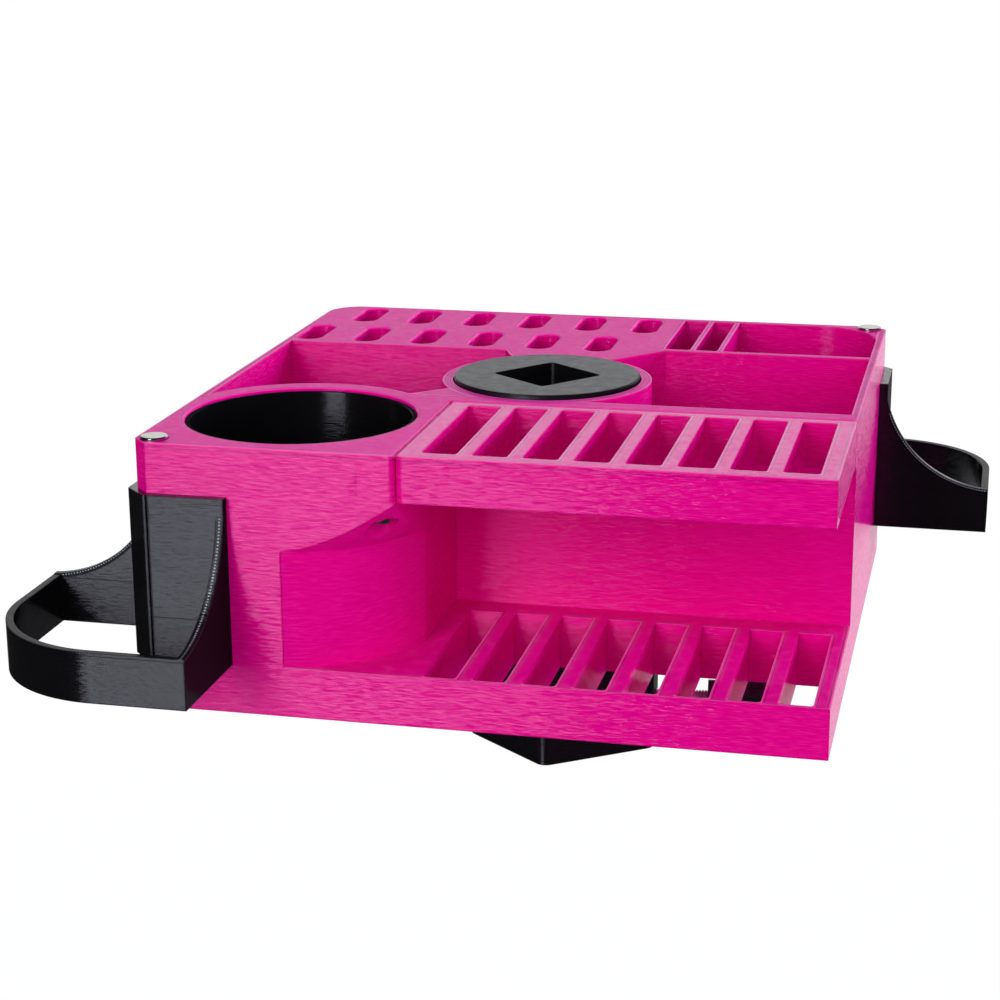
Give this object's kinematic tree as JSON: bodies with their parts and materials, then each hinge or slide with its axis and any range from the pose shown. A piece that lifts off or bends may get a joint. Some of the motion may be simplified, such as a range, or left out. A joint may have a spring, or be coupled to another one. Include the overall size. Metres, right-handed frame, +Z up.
{
  "type": "tool caddy",
  "caption": "Square salon tool caddy that swivels on a square post, with a cup, compartments, tool holes, a two-level scissor rack and looped corner holders.",
  "frame": {"origin": "on the post's axis, level with the underside of the tray body", "axes": "+X to the right along the front face, +Y to the back, +Z up along the post"},
  "size_m": [0.292, 0.295, 0.126],
  "materials": {
    "pink_print": "printed in layers, satin",
    "black_print": "printed in layers, glossy",
    "nickel": "nickel plated",
    "steel": "zinc plated"
  },
  "bodies": {
    "post_mount": {"lower_collar": "black_print", "post_bush": "black_print", "clamp_nut": "steel"},
    "caddy": {"tray_body": "pink_print", "upper_rack": "pink_print", "holder_front_left": "black_print", "holder_back_right": "black_print", "magnet_front_left": "nickel", "magnet_back_right": "nickel", "magnet_flare": "nickel"},
    "cup": {"cup_liner": "black_print"},
    "screw": {"clamp_screw": "steel"},
    "knob": {"clamp_knob": "black_print"}
  },
  "joints": [
    {"name": "caddy_swivel", "type": "hinge", "parent": "post_mount", "child": "caddy", "pos_m": [0, 0, 0], "axis": [0, 0, 1], "continuous": true},
    {"name": "cup_lift", "type": "slide", "parent": "caddy", "child": "cup", "axis": [0, 0, 1], "range_m": [0, 0.085]},
    {"name": "clamp_screw_slide", "type": "slide", "parent": "post_mount", "child": "screw", "axis": [0.9938, 0.1115, 0], "range_m": [0, 0.004]},
    {"name": "clamp_knob_turn", "type": "hinge", "parent": "screw", "child": "knob", "pos_m": [0, 0, -0.0277], "axis": [0.9938, 0.1115, 0], "range_deg": [0, 1440]}
  ],
  "couplings": [
    {"joint": "clamp_knob_turn", "follows": "clamp_screw_slide", "rad_per_m": 6283.2}
  ]
}
